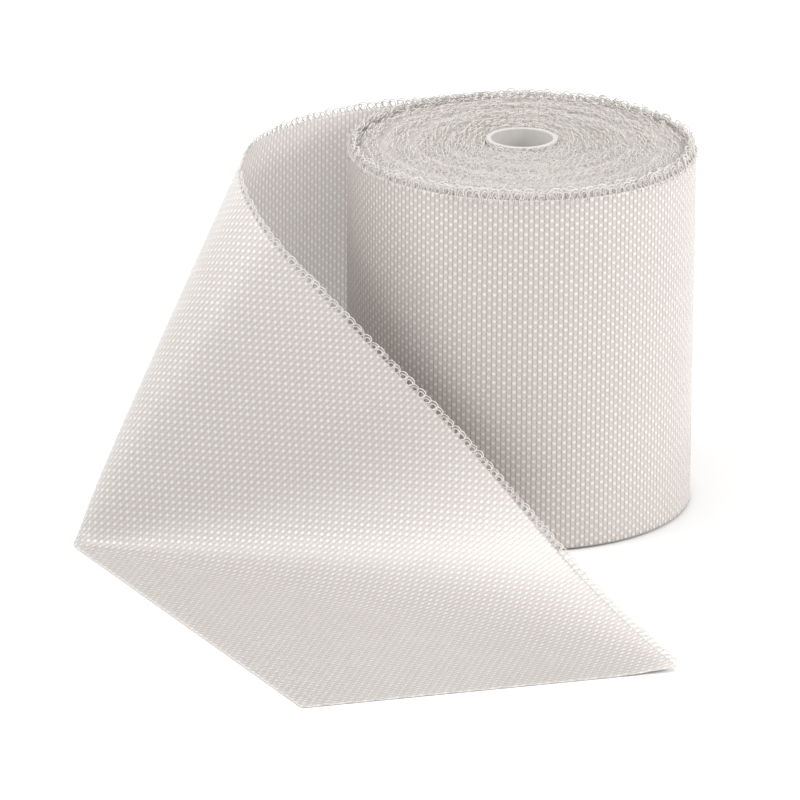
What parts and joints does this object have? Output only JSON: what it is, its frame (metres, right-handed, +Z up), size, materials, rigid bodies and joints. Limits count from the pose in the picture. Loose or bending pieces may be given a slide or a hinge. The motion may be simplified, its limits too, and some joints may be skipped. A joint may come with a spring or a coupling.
{
  "type": "roll of fiberglass cloth tape",
  "caption": "Roll of plain-woven glass cloth tape with looped edges, wound on a thin plastic core, its free end folded over onto the floor.",
  "frame": {"origin": "on the floor under the middle of the part's bounding box", "axes": "+Z up, along the roll's axis; -Y towards the viewer, where the free end lies; +X to the viewer's right, where the roll stands"},
  "size_m": [0.2544, 0.3216, 0.1551],
  "materials": {
    "glass_cloth": "plain-woven glass yarn, warm off-white with a silky sheen on the floats",
    "white_plastic": "matt extruded tube"
  },
  "bodies": {
    "root": {"glass_cloth_tape": "glass_cloth", "core_tube": "white_plastic"}
  },
  "joints": []
}
